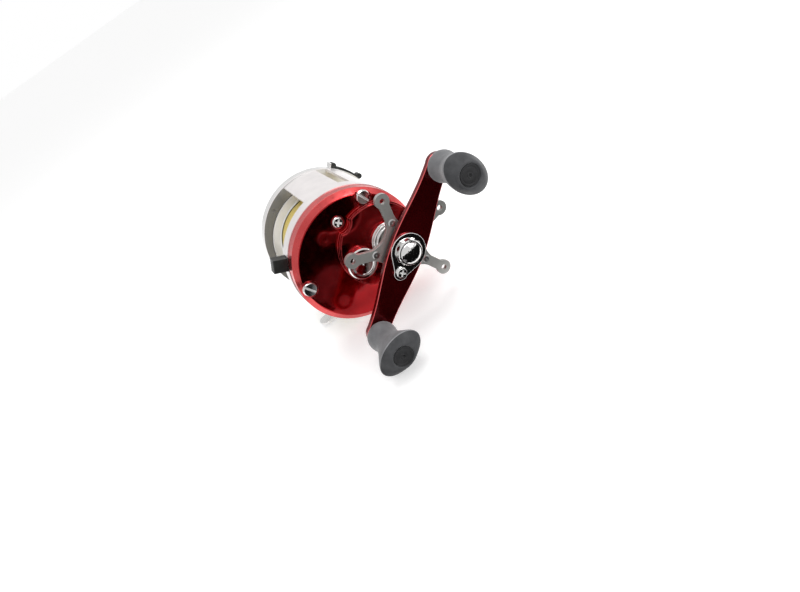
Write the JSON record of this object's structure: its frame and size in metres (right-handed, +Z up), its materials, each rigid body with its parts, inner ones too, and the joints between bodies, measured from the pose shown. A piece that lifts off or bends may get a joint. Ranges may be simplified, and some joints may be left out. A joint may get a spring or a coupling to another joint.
{
  "type": "trolling reel",
  "caption": "Round star-drag trolling reel with level line guide, clutch button, red gear cover and double crank handle on a saddle foot.",
  "frame": {"origin": "centre of the flat underside of the foot, where it rests on the reel seat", "axes": "+X along the spool axis towards the handle, +Y forward along the rod to its tip, +Z up away from the rod"},
  "size_m": [0.1023, 0.0855, 0.0625],
  "materials": {
    "frame_silver": "satin",
    "plate_silver": "satin",
    "anodised_red": "gloss",
    "handle_red": "gloss",
    "chrome": "polished",
    "steel": "satin",
    "star_satin": "satin",
    "black_plastic": "matte",
    "soft_grey": "matte",
    "cap_black": "matte",
    "spool_silver": "polished",
    "line_yellow": "gloss",
    "brass": "satin",
    "nylon": "satin",
    "fibre": "matte",
    "ceramic": "gloss"
  },
  "bodies": {
    "frame_body": {"frame": "frame_silver", "foot": "plate_silver", "foot_rivets": "steel", "palm_plate": "plate_silver", "palm_screws": "chrome", "gear_cover": "anodised_red", "cover_screws": "chrome", "cover_small_screw": "chrome", "rim_pad_clip": "chrome", "rim_pad": "black_plastic", "spool_bearing_left": "steel", "spool_bearing_right": "steel", "magnet_holder": "black_plastic", "magnets": "steel", "tension_washers": "brass", "yoke_posts": "steel", "yoke_springs": "steel", "lever_pivots": "steel", "shaft_bushing": "brass", "roller_clutch": "steel", "crank_collar": "chrome", "worm_bushings": "nylon", "worm_tube": "chrome"},
    "spool_body": {"spool": "spool_silver", "spool_shaft": "steel", "clutch_pin": "steel", "wound_line": "line_yellow", "brake_drum": "plate_silver"},
    "dial_body": {"brake_dial": "chrome"},
    "tension_body": {"tension_knob": "chrome"},
    "yoke_body": {"yoke": "brass"},
    "pinion_body": {"pinion": "brass"},
    "button_body": {"clutch_button": "black_plastic", "clutch_cam": "steel"},
    "lever_body": {"kick_lever": "steel"},
    "crank_body": {"drive_shaft": "steel", "worm_drive_gear": "nylon", "ratchet": "steel", "drive_gear": "brass", "fibre_washers": "fibre", "steel_washers": "steel", "clutch_sleeve": "steel", "spring_washers": "steel", "handle_arm": "handle_red", "handle_nut": "chrome", "nut_retainer": "chrome", "retainer_screw": "chrome", "knob_spindles": "steel"},
    "star_body": {"star_drag": "star_satin", "star_rivets": "steel"},
    "knob_front_body": {"knob_front": "soft_grey", "knob_cap_front": "cap_black"},
    "knob_rear_body": {"knob_rear": "soft_grey", "knob_cap_rear": "cap_black"},
    "pawl_body": {"ratchet_pawl": "steel"},
    "worm_body": {"worm_shaft": "steel", "worm_cog": "nylon"},
    "guide_body": {"line_guide": "chrome", "guide_ring": "ceramic", "worm_pawl": "brass"}
  },
  "joints": [
    {"name": "crank", "type": "hinge", "parent": "frame_body", "child": "crank_body", "pos_m": [0, 0.01435, 0.0298], "axis": [1, 0, 0], "continuous": true},
    {"name": "star_drag_turn", "type": "hinge", "parent": "crank_body", "child": "star_body", "pos_m": [0, 0.01435, 0.0298], "axis": [1, 0, 0], "range_deg": [-540, 90]},
    {"name": "front_knob_spin", "type": "hinge", "parent": "crank_body", "child": "knob_front_body", "pos_m": [0, 0.04447, 0.05129], "axis": [1, 0, 0], "continuous": true},
    {"name": "rear_knob_spin", "type": "hinge", "parent": "crank_body", "child": "knob_rear_body", "pos_m": [0, -0.01577, 0.00831], "axis": [1, 0, 0], "continuous": true},
    {"name": "spool_spin", "type": "hinge", "parent": "frame_body", "child": "spool_body", "pos_m": [0, -0.0015, 0.0298], "axis": [1, 0, 0], "continuous": true},
    {"name": "clutch_press", "type": "slide", "parent": "frame_body", "child": "button_body", "axis": [0, 0.8704, -0.4924], "range_m": [0, 0.0024]},
    {"name": "yoke_slide", "type": "slide", "parent": "frame_body", "child": "yoke_body", "axis": [1, 0, 0], "range_m": [0, 0.00111]},
    {"name": "pinion_spin", "type": "hinge", "parent": "yoke_body", "child": "pinion_body", "pos_m": [0, -0.0015, 0.0298], "axis": [1, 0, 0], "continuous": true},
    {"name": "kick_lever_swing", "type": "hinge", "parent": "frame_body", "child": "lever_body", "pos_m": [0, -0.0095, 0.0138], "axis": [1, 0, 0], "range_deg": [0, 20.2]},
    {"name": "pawl_swing", "type": "hinge", "parent": "frame_body", "child": "pawl_body", "pos_m": [0, 0.02395, 0.0208], "axis": [1, 0, 0], "range_deg": [-12, 0]},
    {"name": "worm_spin", "type": "hinge", "parent": "frame_body", "child": "worm_body", "pos_m": [0, 0.028, 0.0251], "axis": [1, 0, 0], "continuous": true},
    {"name": "guide_slide", "type": "slide", "parent": "frame_body", "child": "guide_body", "axis": [1, 0, 0], "range_m": [-0.015, 0.005]},
    {"name": "tension_turn", "type": "hinge", "parent": "frame_body", "child": "tension_body", "pos_m": [0, -0.0015, 0.0298], "axis": [1, 0, 0], "range_deg": [-360, 90]},
    {"name": "brake_dial_turn", "type": "hinge", "parent": "frame_body", "child": "dial_body", "pos_m": [0, -0.0015, 0.0298], "axis": [1, 0, 0], "range_deg": [0, 270]}
  ],
  "couplings": [
    {"joint": "spool_spin", "follows": "crank", "ratio": -5.3},
    {"joint": "pinion_spin", "follows": "crank", "ratio": -5.3},
    {"joint": "worm_spin", "follows": "crank", "ratio": -2.6},
    {"joint": "yoke_slide", "follows": "clutch_press", "ratio": 0.45833},
    {"joint": "kick_lever_swing", "follows": "clutch_press", "rad_per_m": 145.4}
  ]
}
